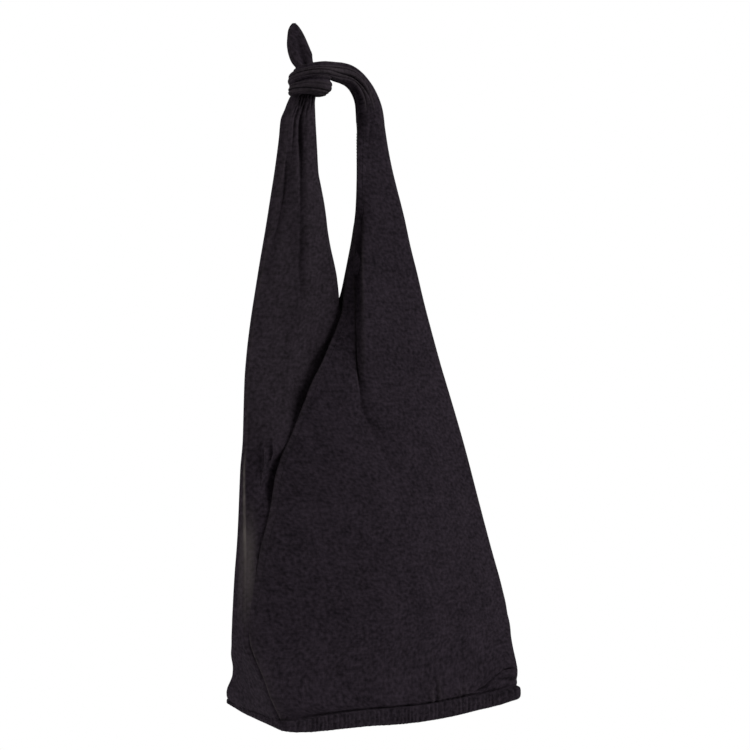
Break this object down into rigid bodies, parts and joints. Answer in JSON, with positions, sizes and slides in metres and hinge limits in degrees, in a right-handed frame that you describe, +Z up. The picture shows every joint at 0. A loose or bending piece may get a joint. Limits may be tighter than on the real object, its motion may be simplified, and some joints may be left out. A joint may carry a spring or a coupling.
{
  "type": "knotted cloth tote bag",
  "caption": "Limp cloth tote with crossing pointed wings on a boxed base; the wing points run up as straps and are tied in a wrapped knot with a free tail.",
  "frame": {"origin": "underside of the strap's crown, where a peg, hook or shoulder carries the bag", "axes": "+Z up, +X to the right along the front, the front faces -Y"},
  "size_m": [0.3187, 0.1166, 0.6766],
  "materials": {
    "cloth": "matte plain weave, black with a faint warm sheen",
    "hem_cloth": "the same cloth turned under and stitched"
  },
  "bodies": {
    "loop": {"left_strap": "cloth", "right_strap": "cloth", "knot_core": "cloth", "knot_wrap": "cloth"},
    "bag": {"right_wing_front": "cloth", "right_wing_side": "cloth", "right_wing_underlay": "cloth", "left_wing_back": "cloth", "left_wing_side": "cloth", "left_wing_underlay": "cloth", "right_front_hem": "hem_cloth", "right_back_hem": "hem_cloth", "left_front_hem": "hem_cloth", "left_back_hem": "hem_cloth", "base_panel": "cloth", "base_welt_front": "cloth", "base_welt_back": "cloth", "base_welt_left": "cloth", "base_welt_right": "cloth"},
    "left_end": {"left_tail": "cloth"},
    "right_end": {"right_tail": "cloth"}
  },
  "joints": [
    {"name": "bag_swing", "type": "hinge", "parent": "loop", "child": "bag", "pos_m": [-0.007, 0, -0.184], "axis": [1, 0, 0], "range_deg": [-90, 90]},
    {"name": "left_tail_flop", "type": "hinge", "parent": "loop", "child": "left_end", "pos_m": [-0.051, 0, 0.0216], "axis": [1, 0, 0], "range_deg": [-85, 85]},
    {"name": "right_tail_flop", "type": "hinge", "parent": "loop", "child": "right_end", "pos_m": [-0.0397, 0.01768, -0.0231], "axis": [1, 0, 0], "range_deg": [0, 90]}
  ]
}
